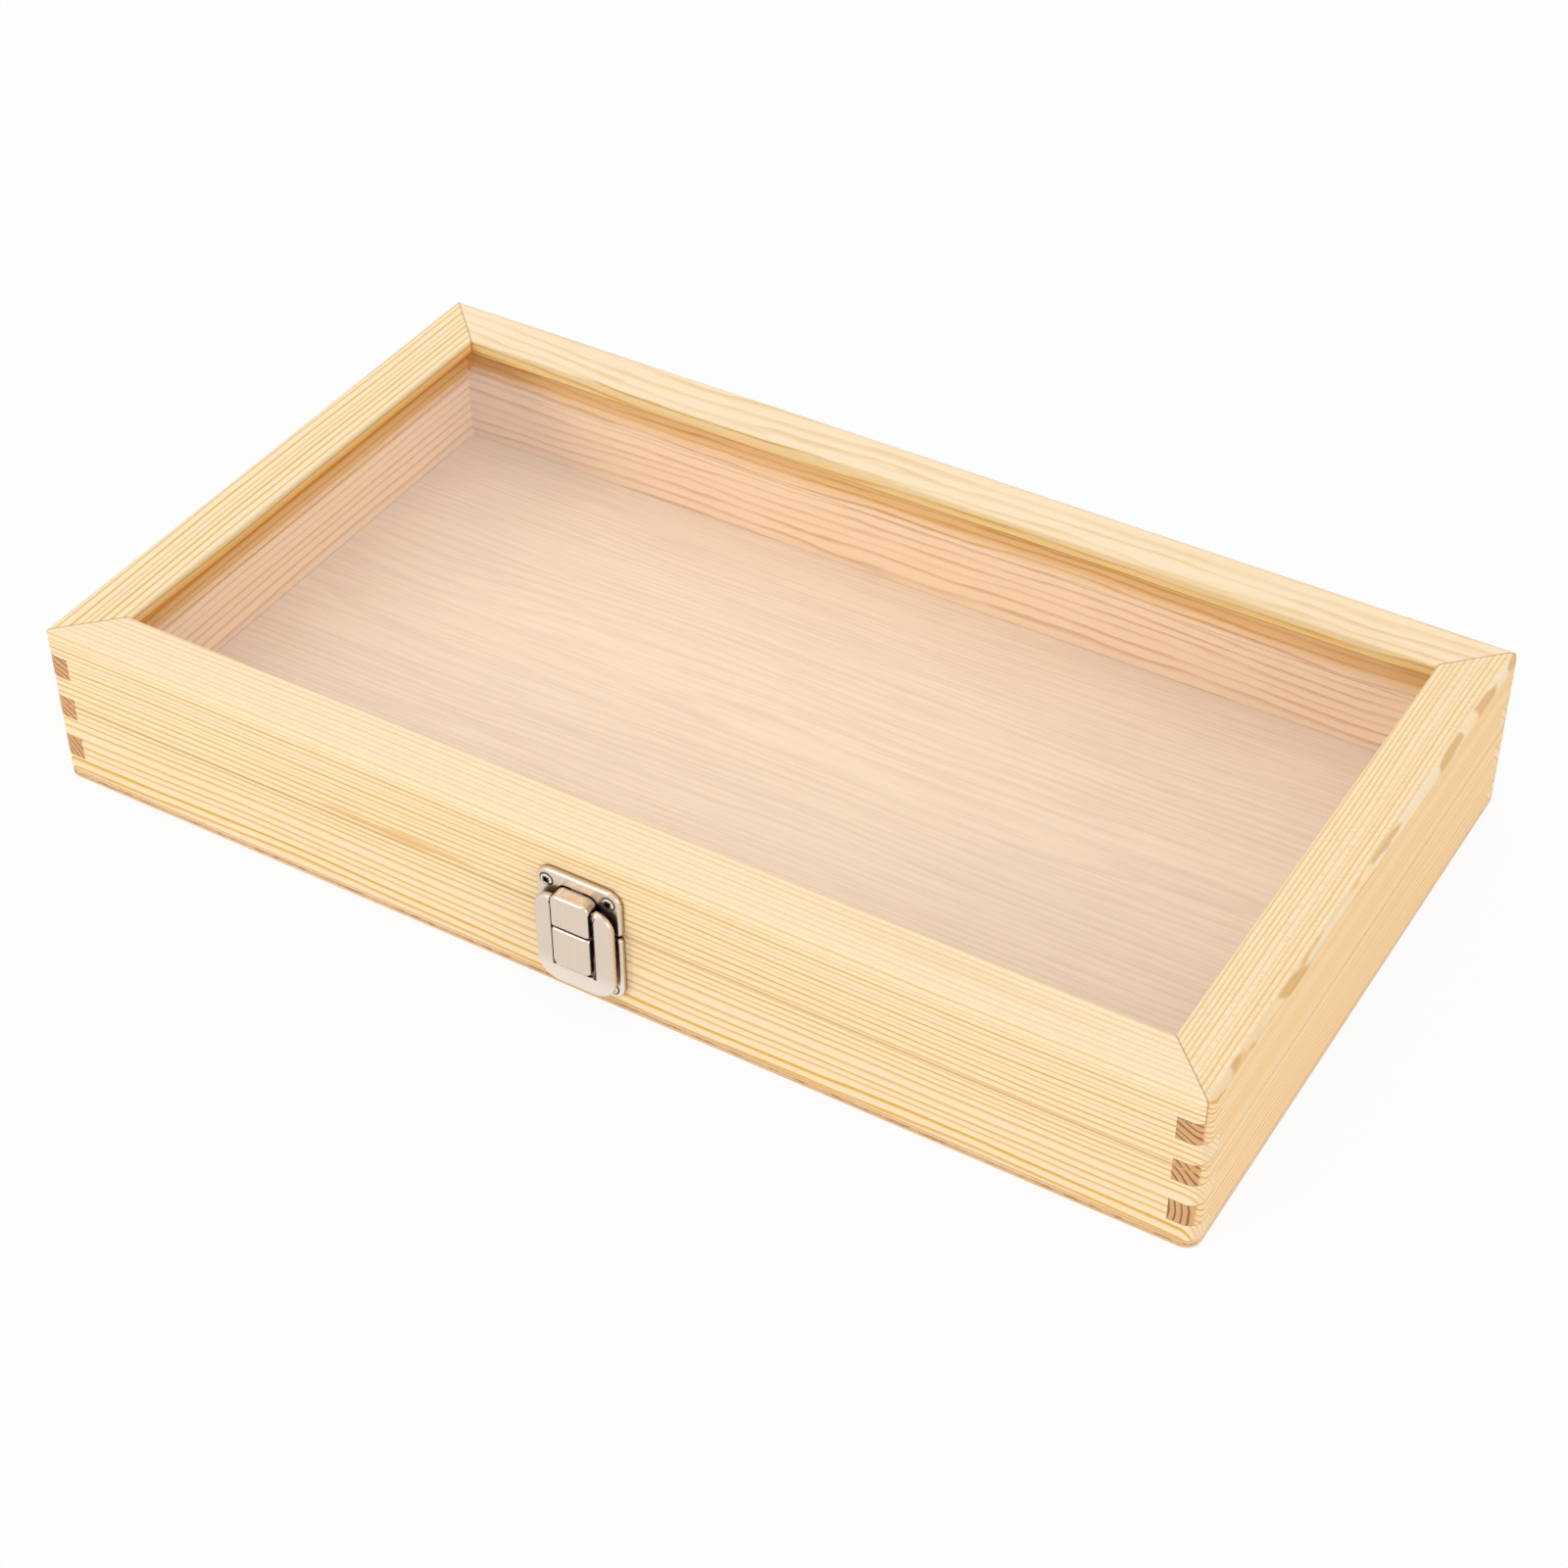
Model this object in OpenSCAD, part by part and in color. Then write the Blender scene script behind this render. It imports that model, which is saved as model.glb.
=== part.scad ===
// Enamel pin display case: a shallow pine box with a glazed, hinged lid and a snap latch.
// Origin at the bottom centre of the case, X along the front, the latch faces -Y, Z up.

/* [Case] */
// Length of the case along the front
case_l = 375; // [240:5:480]
// Depth of the case from front to back
case_w = 210; // [150:5:320]
// Height of the closed case
case_h = 54; // [52:1:70]
// Thickness of the four side boards
wall_t = 8.5; // [7.5:0.5:10]
// Thickness of the plywood bottom panel
bottom_t = 2.7; // [2:0.1:4]
// Thickness of the loose board that lines the floor
liner_t = 3; // [2:0.5:4]
// Gap round the floor liner
liner_gap = 0.3; // [0.2:0.1:1]
// Height at which the saw cut parts the lid from the base
seam_z = 28.6; // [28.2:0.1:30]
// Width of the saw cut between the base and the lid
seam_gap = 0.3; // [0.2:0.1:0.6]
// Radius on the four upright corners
corner_r = 4.5; // [2:0.5:6]
// Radius on the outer top edges of the lid
top_edge_r = 3; // [1:0.5:4]

/* [Corner joints] */
// Height of one finger of the corner joints
finger_h = 7.5; // [5:0.5:8]
// Height of the lowest side board finger above the ground
finger_z = 8.5; // [6:0.5:10]
// Number of side board fingers at each corner
finger_count = 3; // [2:1:3]

/* [Lid frame and pane] */
// Width of the lid frame round the window
frame_w = 18.5; // [14:0.5:26]
// Thickness of the lid frame above the pane
frame_t = 5.4; // [4:0.2:6]
// Radius on the window's top edge
window_r = 1; // [0.5:0.25:2]
// Thickness of the glass pane
pane_t = 3; // [2:0.5:4]
// Depth of the pane's groove in the lid boards
groove_d = 4; // [2:0.5:5]
// Clearance between the pane and its groove
pane_gap = 0.2; // [0.1:0.1:0.5]

/* [Latch] */
// Place of the latch along the front, from the middle
latch_x = 1.2; // [-40:0.2:40]
// Width of the two latch plates
plate_w = 27.3; // [26.5:0.1:30]
// Height to which the latch plates stand out from the wood
plate_out = 2; // [1.6:0.1:2.2]
// Thickness of the sheet that the latch is pressed from
sheet_t = 0.8; // [0.6:0.1:0.9]
// Radius rolled along the plates' edges
plate_edge_r = 1; // [0.6:0.1:1.2]
// Radius of the plates' outer corners
plate_corner_r = 4.5; // [3:0.5:5]
// Radius of the plates' corners beside the seam
plate_seam_r = 1.4; // [1.3:0.1:2]
// Height of the lid plate's top edge above the ground
lid_plate_top_z = 44.2; // [43.8:0.2:46]
// Height of the catch plate's bottom edge above the ground
catch_plate_z = 5.2; // [4:0.2:5.4]
// Distance from each plate's edge to the seam
plate_seam_gap = 0.3; // [0.2:0.1:0.5]
// Width of the housing and of the catch
tongue_w = 12.4; // [11:0.2:13]
// Depth of the rolled sides along the flap and the catch
tongue_depth = 2; // [1.4:0.1:2.2]
// Radius rolled along the edges of the flap and the catch
tongue_edge_r = 0.9; // [0.5:0.1:1.2]
// Radius of the catch's upper corners
tongue_gap_r = 1.3; // [1.3:0.1:1.6]
// Distance from the wood to the front of the housing and of the catch
housing_out = 6.8; // [6.6:0.1:7.2]
// Height of the housing's top above the ground
housing_top_z = 40.2; // [39.8:0.1:40.6]
// Radius of the housing's shoulders
shoulder_r = 2.4; // [1.6:0.1:3]
// Width of the flange that holds the housing behind the lid plate
flange_w = 9; // [6:0.5:10]
// Height of that flange
flange_h = 3.2; // [2.4:0.2:3.6]
// Width of the small tab in the middle of the lid plate's cut
tab_w = 3.8; // [3:0.2:5]
// Height of that tab
tab_h = 0.3; // [0.1:0.05:0.35]
// Width of the cut round the housing in the lid plate
window_gap = 0.4; // [0.3:0.1:0.6]
// Distance that the housing's cheeks reach below the pivot pin
cheek_drop = 2.4; // [1.6:0.1:3]
// Gap between the housing's flap and the catch below it
flap_gap = 0.6; // [0.3:0.1:0.8]
// Rise of the flap's curved lower edge towards its corners
flap_rise = 0.5; // [0.2:0.1:0.8]
// Radius of the catch's lower corners
catch_tip_r = 2.2; // [1.4:0.1:3]
// Width of the latch frame
swing_w = 25.5; // [24.5:0.1:27]
// Height of the latch frame's lower edge above the ground
swing_z = 6.6; // [6:0.2:7]
// Height of the latch frame's top edge above the ground
swing_top_z = 37.8; // [37:0.1:38]
// Distance from the wood to the front of the latch frame
swing_out = 5.4; // [5.2:0.1:5.6]
// Depth of the latch frame from front to back
swing_depth = 1.7; // [1.4:0.1:1.9]
// Radius of the latch frame's upper corners
swing_top_r = 5.6; // [4:0.1:5.7]
// Radius of the latch frame's lower corners
swing_foot_r = 7; // [5:0.5:8]
// Radius rolled along the latch frame's edge
swing_edge_r = 1.2; // [0.8:0.1:1.3]
// Width of the slot in the latch frame
slot_w = 14; // [13.6:0.1:14.4]
// Height of the slot's lower end above the ground
slot_z = 13.2; // [12:0.2:14]
// Radius of the slot's lower corners
slot_r = 2.4; // [1.5:0.1:3]
// Gap between the slot's lower end and the catch
catch_gap = 1.2; // [0.6:0.1:1.6]
// Gap between the latch frame's ears and the housing
ear_gap = 0.2; // [0.1:0.05:0.3]
// Radius of the ears round the pivot pin
ear_r = 1.5; // [1.2:0.1:1.6]
// Radius of the latch frame's pivot pin
latch_pin_r = 0.6; // [0.5:0.05:0.7]
// Distance from the wood to the pivot pin's axis
latch_pin_out = 4.2; // [4.1:0.05:4.3]
// Distance from the latch frame's top edge down to the pivot pin's axis
latch_pin_drop = 1.8; // [1.6:0.05:1.85]
// Play of the pins in their holes, on the radius
pin_play = 0.05; // [0.02:0.01:0.08]

/* [Hinges] */
// Distance from the middle of the case to each hinge
hinge_x = 115; // [80:5:150]
// Length of a hinge along its pin
hinge_w = 26; // [24:1:40]
// Height of each hinge leaf from the pin's axis
leaf_h = 13; // [12:0.5:14]
// Thickness of the hinge leaves
leaf_t = 1; // [0.8:0.1:1.2]
// Outer radius of the hinge knuckles
knuckle_r = 2; // [1.8:0.1:2.3]
// Radius of the leaves' outer corners
leaf_corner_r = 1.5; // [0.5:0.5:3]
// Radius of the leaves' corners beside the knuckles
leaf_inner_r = 0.3; // [0.2:0.1:0.6]
// Number of knuckles on each hinge
knuckle_count = 5; // [3:2:7]
// Gap between neighbouring knuckles
knuckle_gap = 0.15; // [0.1:0.05:0.3]
// Radius of the hinge pins
hinge_pin_r = 1; // [0.8:0.05:1.1]
// Radius of the heads on the hinge pins
pin_head_r = 1.6; // [1.3:0.1:1.8]
// Thickness of the heads on the hinge pins
pin_head_t = 0.6; // [0.4:0.1:0.8]
// Gap between a hinge knuckle and the wood
knuckle_stand = 0.1; // [0.05:0.05:0.4]

/* [Screws] */
// Radius of the screw heads
screw_head_r = 2.25; // [2:0.05:2.6]
// Height of the screws' domed heads
screw_dome = 0.45; // [0.3:0.05:0.5]
// Length of the cross in the screw heads
cross_l = 2.6; // [2:0.1:3]
// Width of the cross's arms
cross_w = 0.6; // [0.4:0.05:0.8]
// Depth of the cross below the top of the dome
cross_depth = 0.75; // [0.5:0.05:0.9]
// Radius of the screws' shanks
screw_shank_r = 1.1; // [0.9:0.05:1.3]
// Wood left between the screws' tips and the depth of the pane's groove
screw_wood = 0.5; // [0.2:0.1:1]
// Spacing of the two screws on a latch plate
latch_screw_w = 20.1; // [19.6:0.1:20.6]
// Distance from a latch plate's outer edge to its screws
latch_screw_inset = 3.8; // [3.4:0.1:4.2]
// Spacing of the two screws on a hinge leaf
hinge_screw_w = 16; // [12:0.5:18]
// Distance from a hinge leaf's edge to its screws
hinge_screw_inset = 4; // [3:0.5:5]

/* [Hidden] */
$fn = 48;
e = 0.01;

// Case
lid_z = seam_z + seam_gap;
mitre_z = finger_z + (2 * finger_count - 1) * finger_h;
pane_top_z = case_h - frame_t;
groove_z = pane_top_z - pane_t - pane_gap;
screw_depth = wall_t - groove_d - screw_wood;

// Latch, in the front's own frame: X right, Y up from the ground, Z out from the wood
lid_plate_z = lid_z + plate_seam_gap;
catch_plate_top_z = seam_z - plate_seam_gap;
sheet_back = plate_out - sheet_t;
flap_z = catch_plate_top_z + flap_gap;
pin_z = swing_top_z - latch_pin_drop;
catch_end_z = slot_z + catch_gap;
ear_x = tongue_w / 2 + ear_gap;
ear_t = (slot_w + sheet_t) / 2 - ear_x;
latch_pin_l = 2 * (ear_x + ear_t);
lid_screw_z = lid_plate_top_z - latch_screw_inset;
catch_screw_z = catch_plate_z + latch_screw_inset;

// Hinges
hinge_y = case_w / 2 + knuckle_stand + knuckle_r;
hinge_z = seam_z + seam_gap / 2;
knuckle_w = (hinge_w - (knuckle_count - 1) * knuckle_gap) / knuckle_count;
hinge_screw_h = leaf_h - hinge_screw_inset;

pine = [1.0, 0.87, 0.66];
ply = [0.85, 0.68, 0.5];
nickel = [0.78, 0.75, 0.7];
bright = [0.82, 0.8, 0.76];

// Rectangle with round corners, centred on X, standing on Y = 0
module outline(w, h, r_top, r_foot) {
    for (s = [-1, 1]) {
        translate([s * (w / 2 - r_top), h - r_top]) circle(r_top);
        translate([s * (w / 2 - r_foot), r_foot]) circle(r_foot);
    }
    translate([-w / 2 + r_top, r_foot]) square([w - 2 * r_top, h - r_foot]);
    translate([-w / 2 + r_foot, 0]) square([w - 2 * r_foot, h - r_top]);
    translate([-w / 2, r_foot]) square([w, h - r_foot - r_top]);
}

// Section from the middle (X = 0) to a rolled front edge at X = r
module rolled_section(r, t, edge) {
    difference() {
        square([r, t]);
        difference() {
            translate([r - edge, t - edge]) square(edge + e);
            translate([r - edge, t - edge]) circle(edge);
        }
    }
}

// Plate on Z = 0 with that outline and a rolled front edge
module rolled_plate(w, h, t, r_top, r_foot, edge) {
    for (a = [0, 90]) corner_turn(w, h, r_top, 1, a) rolled_section(r_top, t, edge);
    for (a = [180, 270]) corner_turn(w, h, r_foot, -1, a) rolled_section(r_foot, t, edge);
    translate([0, h - r_top, 0]) rotate([90, 0, 0]) linear_extrude(h - r_top - r_foot)
        for (m = [0, 1]) mirror([m, 0]) rolled_section(w / 2, t, edge);
    translate([-w / 2 + r_top, h - r_top, 0]) rotate([90, 0, 90])
        linear_extrude(w - 2 * r_top) rolled_section(r_top, t, edge);
    translate([-w / 2 + r_foot, r_foot, 0]) mirror([0, 1, 0]) rotate([90, 0, 90])
        linear_extrude(w - 2 * r_foot) rolled_section(r_foot, t, edge);
}

// One quarter turn about an upper (side 1) or lower (side -1) corner's centre
module corner_turn(w, h, r, side, a) {
    x = (a == 0 || a == 270 ? 1 : -1) * (w / 2 - r);
    translate([x, side > 0 ? h - r : r, 0]) rotate([0, 0, a]) rotate_extrude(angle = 90)
        children();
}

// Places what is drawn with X right, Y up and Z outwards on the front of the case
module on_front() {
    translate([latch_x, -case_w / 2, 0]) rotate([90, 0, 0]) children();
}

// Case boards

// Everything inside the round upright corners of the case
module case_prism(z0, z1) {
    translate([0, -case_w / 2, z0]) linear_extrude(z1 - z0)
        outline(case_l, case_w, corner_r, corner_r);
}

// Space that belongs to the front board: mitred above, fingered below
module front_share() {
    translate([0, 0, mitre_z]) linear_extrude(case_h) polygon([
        [-case_l / 2 - e, -case_w / 2 - e],
        [case_l / 2 + e, -case_w / 2 - e],
        [(case_l - case_w) / 2, 0],
        [-(case_l - case_w) / 2, 0],
    ]);
    inner_l = case_l - 2 * wall_t;
    translate([-inner_l / 2, -case_w / 2, 0]) cube([inner_l, case_w / 2, mitre_z]);
    for (i = [0 : finger_count - 1]) {
        low = i == 0 ? 0 : finger_z + (2 * i - 1) * finger_h;
        high = finger_z + 2 * i * finger_h;
        translate([-case_l / 2, -case_w / 2, low]) cube([case_l, wall_t, high - low]);
    }
}

// Space that belongs to the left board
module left_share() {
    translate([0, 0, mitre_z]) linear_extrude(case_h) polygon([
        [-case_l / 2 - e, -case_w / 2 - e],
        [-case_l / 2 + case_w / 2, 0],
        [-case_l / 2 - e, case_w / 2 + e],
    ]);
    inner_w = case_w - 2 * wall_t;
    translate([-case_l / 2, -inner_w / 2, 0]) cube([case_l / 2, inner_w, mitre_z]);
    for (i = [0 : finger_count - 1])
        translate([-case_l / 2, -case_w / 2, finger_z + 2 * i * finger_h])
            cube([wall_t, case_w, finger_h]);
}

// Section of a lid board, drawn as [in from the outer face, up]
module lid_section() {
    difference() {
        union() {
            translate([0, lid_z]) square([wall_t, case_h - lid_z]);
            translate([0, pane_top_z]) square([frame_w, frame_t]);
        }
        translate([wall_t - groove_d, groove_z]) square([groove_d + e, pane_top_z - groove_z]);
        difference() {
            translate([-e, case_h - top_edge_r]) square(top_edge_r + e);
            translate([top_edge_r, case_h - top_edge_r]) circle(top_edge_r);
        }
        difference() {
            translate([frame_w - window_r, case_h - window_r]) square(window_r + e);
            translate([frame_w - window_r, case_h - window_r]) circle(window_r);
        }
    }
}

module front_board_run() {
    translate([-case_l / 2, -case_w / 2, 0]) rotate([90, 0, 90]) linear_extrude(case_l)
        lid_section();
}

module left_board_run() {
    translate([-case_l / 2, case_w / 2, 0]) rotate([90, 0, 0]) linear_extrude(case_w)
        lid_section();
}

module lid_front_board() {
    intersection() {
        front_board_run();
        case_prism(0, case_h);
        front_share();
    }
}

module lid_left_board() {
    intersection() {
        left_board_run();
        case_prism(0, case_h);
        left_share();
    }
}

module base_front_board() {
    intersection() {
        translate([-case_l / 2, -case_w / 2, bottom_t])
            cube([case_l, wall_t, seam_z - bottom_t]);
        case_prism(0, seam_z);
        front_share();
    }
}

module base_left_board() {
    intersection() {
        translate([-case_l / 2, -case_w / 2, bottom_t])
            cube([wall_t, case_w, seam_z - bottom_t]);
        case_prism(0, seam_z);
        left_share();
    }
}

module bottom_panel() {
    color(ply) case_prism(0, bottom_t);
}

module floor_liner() {
    l = case_l - 2 * wall_t - 2 * liner_gap;
    w = case_w - 2 * wall_t - 2 * liner_gap;
    color(ply) translate([-l / 2, -w / 2, bottom_t]) cube([l, w, liner_t]);
}

module base_front_wall() {
    color(pine) difference() {
        base_front_board();
        latch_pilots(catch_screw_z);
    }
}

module base_back_wall() {
    color(pine) difference() {
        mirror([0, 1, 0]) base_front_board();
        hinge_holes(-1);
    }
}

module base_left_wall() {
    color(pine) base_left_board();
}

module base_right_wall() {
    color(pine) mirror([1, 0, 0]) base_left_board();
}

module lid_front_rail() {
    color(pine) difference() {
        lid_front_board();
        latch_pilots(lid_screw_z);
    }
}

module lid_back_rail() {
    color(pine) difference() {
        mirror([0, 1, 0]) lid_front_board();
        hinge_holes(1);
    }
}

module lid_left_rail() {
    color(pine) lid_left_board();
}

module lid_right_rail() {
    color(pine) mirror([1, 0, 0]) lid_left_board();
}

module glass_pane() {
    l = case_l - 2 * (wall_t - groove_d + pane_gap);
    w = case_w - 2 * (wall_t - groove_d + pane_gap);
    color([0.85, 0.93, 0.9, 0.35])
        translate([-l / 2, -w / 2, groove_z]) cube([l, w, pane_t]);
}

// Screws and their holes

// Screw with its head's rim on Z = 0 and its shank towards -Z
module screw(seat) {
    sink = screw_head_r - screw_shank_r;
    ball = (screw_head_r * screw_head_r + screw_dome * screw_dome) / (2 * screw_dome);
    difference() {
        union() {
            intersection() {
                translate([0, 0, screw_dome - ball]) sphere(ball);
                cylinder(screw_dome, r = screw_head_r);
            }
            translate([0, 0, -sink]) cylinder(sink, r1 = screw_shank_r, r2 = screw_head_r);
            translate([0, 0, -seat - screw_depth]) cylinder(seat + screw_depth, r = screw_shank_r);
        }
        for (a = [45, 135]) rotate([0, 0, a])
            translate([-cross_l / 2, -cross_w / 2, screw_dome - cross_depth])
                cube([cross_l, cross_w, cross_depth + e]);
    }
}

// Hole for that screw: countersunk in the sheet, whose face is on Z = 0, and on into the wood
module screw_hole(seat) {
    sink = screw_head_r - screw_shank_r;
    depth = seat + screw_depth + pin_play;
    translate([0, 0, -sink])
        cylinder(sink + e, r1 = screw_shank_r + pin_play, r2 = screw_head_r + pin_play + e);
    translate([0, 0, -depth]) cylinder(depth, r = screw_shank_r + pin_play);
}

module latch_pair(z, out) {
    on_front() for (s = [-1, 1])
        translate([s * latch_screw_w / 2, z, out]) children();
}

module latch_pilots(z) {
    latch_pair(z, plate_out) screw_hole(plate_out);
}

module latch_top_screws() {
    color(bright) latch_pair(lid_screw_z, plate_out) screw(plate_out);
}

module catch_screws() {
    color(bright) latch_pair(catch_screw_z, plate_out) screw(plate_out);
}

// Screw places on the leaves above (side 1) or below (side -1) both hinge pins
module hinge_places(side) {
    for (s = [-1, 1], t = [-1, 1])
        translate([s * hinge_x + t * hinge_screw_w / 2, case_w / 2, hinge_z + side * hinge_screw_h])
            rotate([-90, 0, 0]) children();
}

module hinge_holes(side) {
    hinge_places(side) translate([0, 0, leaf_t]) screw_hole(leaf_t);
}

module hinge_base_screws() {
    color(bright) hinge_places(-1) translate([0, 0, leaf_t]) screw(leaf_t);
}

module hinge_lid_screws() {
    color(bright) hinge_places(1) translate([0, 0, leaf_t]) screw(leaf_t);
}

// Hinges

// One leaf with its own knuckles: every second one, from the first (0) or the second (1)
module hinge_leaf(x, side, first) {
    pitch = knuckle_w + knuckle_gap;
    clear = knuckle_r + knuckle_gap;
    difference() {
        union() {
            translate([x, case_w / 2, hinge_z]) rotate([-90, 0, 0]) linear_extrude(leaf_t)
                mirror([0, 1]) mirror([0, side < 0 ? 1 : 0]) leaf_outline(clear);
            for (i = [first : 2 : knuckle_count - 1])
                translate([x - hinge_w / 2 + i * pitch, 0, 0]) {
                    translate([0, hinge_y, hinge_z]) rotate([0, 90, 0])
                        cylinder(knuckle_w, r = knuckle_r);
                    translate([0, case_w / 2, side > 0 ? hinge_z : hinge_z - clear - e])
                        cube([knuckle_w, leaf_t, clear + e]);
                }
        }
        translate([x - hinge_w / 2 - 1, hinge_y, hinge_z]) rotate([0, 90, 0])
            cylinder(hinge_w + 2, r = hinge_pin_r + pin_play);
        hinge_holes(side);
    }
}

// Leaf with round outer corners, above its knuckles
module leaf_outline(clear) {
    translate([0, clear]) outline(hinge_w, leaf_h - clear, leaf_corner_r, leaf_inner_r);
}

module hinge_pin(x) {
    l = hinge_w + 2 * knuckle_gap;
    translate([x - l / 2, hinge_y, hinge_z]) rotate([0, 90, 0]) {
        cylinder(l, r = hinge_pin_r);
        translate([0, 0, -pin_head_t]) cylinder(pin_head_t, r = pin_head_r);
        translate([0, 0, l]) cylinder(pin_head_t, r = pin_head_r);
    }
}

module hinge_left_base_leaf() {
    color(nickel) hinge_leaf(-hinge_x, -1, 0);
}

module hinge_right_base_leaf() {
    color(nickel) hinge_leaf(hinge_x, -1, 0);
}

module hinge_left_lid_leaf() {
    color(nickel) hinge_leaf(-hinge_x, 1, 1);
}

module hinge_right_lid_leaf() {
    color(nickel) hinge_leaf(hinge_x, 1, 1);
}

module hinge_left_pin() {
    color(bright) hinge_pin(-hinge_x);
}

module hinge_right_pin() {
    color(bright) hinge_pin(hinge_x);
}

// Latch

// Pressed piece: a rolled front, its sides turned back and a hollow behind
module pressed(w, h, t, r_top, r_foot, edge) {
    difference() {
        rolled_plate(w, h, t, r_top, r_foot, edge);
        translate([0, sheet_t, -e]) linear_extrude(t - sheet_t + e)
            outline(w - 2 * sheet_t, h - 2 * sheet_t, r_top - sheet_t, r_foot - sheet_t);
    }
}

// Boss behind each screw, which fills the hollow back of the plate
module screw_bosses(z) {
    for (s = [-1, 1]) translate([s * latch_screw_w / 2, z, 0])
        cylinder(plate_out - sheet_t / 2, r = screw_head_r + sheet_t / 2);
}

module plate_holes(z) {
    for (s = [-1, 1]) translate([s * latch_screw_w / 2, z, plate_out]) screw_hole(plate_out);
}

// Housing over the latch frame's pin, with the sprung flap below its cheeks, which ends in a
// cut edge, and a flange behind the lid plate
module housing() {
    low = flap_z - 2 * tongue_edge_r;
    back = sheet_back - sheet_t;
    bow_r = (tongue_w * tongue_w / 4 + flap_rise * flap_rise) / (2 * flap_rise);
    difference() {
        intersection() {
            translate([0, low, back])
                pressed(tongue_w, housing_top_z - low, housing_out - back, shoulder_r,
                    tongue_gap_r, tongue_edge_r);
            translate([0, flap_z + bow_r, 0]) cylinder(housing_out + 1, r = bow_r, $fn = 360);
        }
        translate([-tongue_w, 0, 0])
            cube([2 * tongue_w, pin_z - cheek_drop, housing_out - tongue_depth]);
        translate([-tongue_w, pin_z, latch_pin_out]) rotate([0, 90, 0])
            cylinder(2 * tongue_w, r = latch_pin_r + pin_play);
    }
    translate([-flange_w / 2, housing_top_z - sheet_t, back]) cube([flange_w, flange_h, sheet_t]);
}

// Cut round the housing in the lid plate, with a small tab in the middle of its upper edge
module housing_window() {
    w = tongue_w + 2 * window_gap;
    low = lid_plate_z - 1;
    top = housing_top_z + window_gap;
    difference() {
        translate([0, low]) outline(w, top - low, shoulder_r + window_gap, window_gap);
        translate([-tab_w / 2, top - tab_h]) square([tab_w, tab_h + e]);
    }
}

module latch_top_plate() {
    h = lid_plate_top_z - lid_plate_z;
    color(nickel) on_front() {
        difference() {
            union() {
                translate([0, lid_plate_z, 0])
                    pressed(plate_w, h, plate_out, plate_corner_r, plate_seam_r, plate_edge_r);
                screw_bosses(lid_screw_z);
            }
            plate_holes(lid_screw_z);
            translate([0, 0, -e]) linear_extrude(plate_out + 1) housing_window();
        }
        housing();
    }
}

// Catch plate: its tongue turns out over the top edge and down to a free end
module catch_plate() {
    h = catch_plate_top_z - catch_plate_z;
    bridge_w = tongue_w - 2 * tongue_gap_r;
    color(nickel) on_front() {
        difference() {
            union() {
                translate([0, catch_plate_z, 0])
                    pressed(plate_w, h, plate_out, plate_seam_r, plate_corner_r, plate_edge_r);
                screw_bosses(catch_screw_z);
            }
            plate_holes(catch_screw_z);
        }
        translate([0, catch_end_z, housing_out - tongue_depth])
            pressed(tongue_w, catch_plate_top_z - catch_end_z, tongue_depth,
                tongue_gap_r, catch_tip_r, tongue_edge_r);
        translate([-bridge_w / 2, catch_plate_top_z - sheet_t, sheet_back])
            cube([bridge_w, sheet_t, housing_out - tongue_edge_r - sheet_back]);
    }
}

// Swinging latch frame, hollow behind, with a pierced ear on each side of its slot
module latch_frame() {
    h = swing_top_z - swing_z;
    color(nickel) on_front() difference() {
        union() {
            difference() {
                translate([0, swing_z, swing_out - swing_depth])
                    pressed(swing_w, h, swing_depth, swing_top_r, swing_foot_r, swing_edge_r);
                translate([0, slot_z, 0]) linear_extrude(swing_out + 1)
                    outline(slot_w, 2 * h, slot_r, slot_r);
            }
            for (m = [0, 1]) mirror([m, 0, 0]) ear();
        }
        translate([-latch_pin_l / 2 - pin_play, pin_z, latch_pin_out]) rotate([0, 90, 0])
            cylinder(latch_pin_l + 2 * pin_play, r = latch_pin_r + pin_play);
    }
}

// One ear, turned back from the slot's edge and round below the pin
module ear() {
    translate([ear_x, pin_z, 0]) rotate([90, 0, 90]) linear_extrude(ear_t) {
        translate([0, latch_pin_out]) circle(ear_r);
        translate([-ear_r, latch_pin_out]) square([2 * ear_r, swing_out - latch_pin_out]);
    }
}

module latch_frame_pin() {
    color(bright) on_front() translate([-latch_pin_l / 2, pin_z, latch_pin_out])
        rotate([0, 90, 0]) cylinder(latch_pin_l, r = latch_pin_r);
}

bottom_panel();
floor_liner();
base_front_wall();
base_back_wall();
base_left_wall();
base_right_wall();
catch_plate();
catch_screws();
hinge_left_base_leaf();
hinge_right_base_leaf();
hinge_left_pin();
hinge_right_pin();
hinge_base_screws();
lid_front_rail();
lid_back_rail();
lid_left_rail();
lid_right_rail();
glass_pane();
latch_top_plate();
latch_top_screws();
hinge_left_lid_leaf();
hinge_right_lid_leaf();
hinge_lid_screws();
latch_frame();
latch_frame_pin();
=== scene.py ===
import math
import bmesh
import bpy
from mathutils import Matrix, Vector

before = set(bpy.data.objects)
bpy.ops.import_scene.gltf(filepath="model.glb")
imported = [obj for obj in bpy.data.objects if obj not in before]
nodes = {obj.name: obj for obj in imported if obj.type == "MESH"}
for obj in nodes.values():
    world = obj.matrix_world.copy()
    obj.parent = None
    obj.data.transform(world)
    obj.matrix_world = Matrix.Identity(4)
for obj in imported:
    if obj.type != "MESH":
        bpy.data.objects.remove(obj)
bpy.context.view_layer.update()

# Camera
# Stands in front of the case, a little to its right, and looks down into the
# pane from about forty degrees, as the photograph does.
turn, lift, roll = (math.radians(angle) for angle in (31.147, 40.601, -0.382))
distance, shift_right, shift_up = 0.959747, 0.001889, -0.000616
sensor_width, focal_pixels, frame_pixels = 36, 3255.01, 1600
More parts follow.
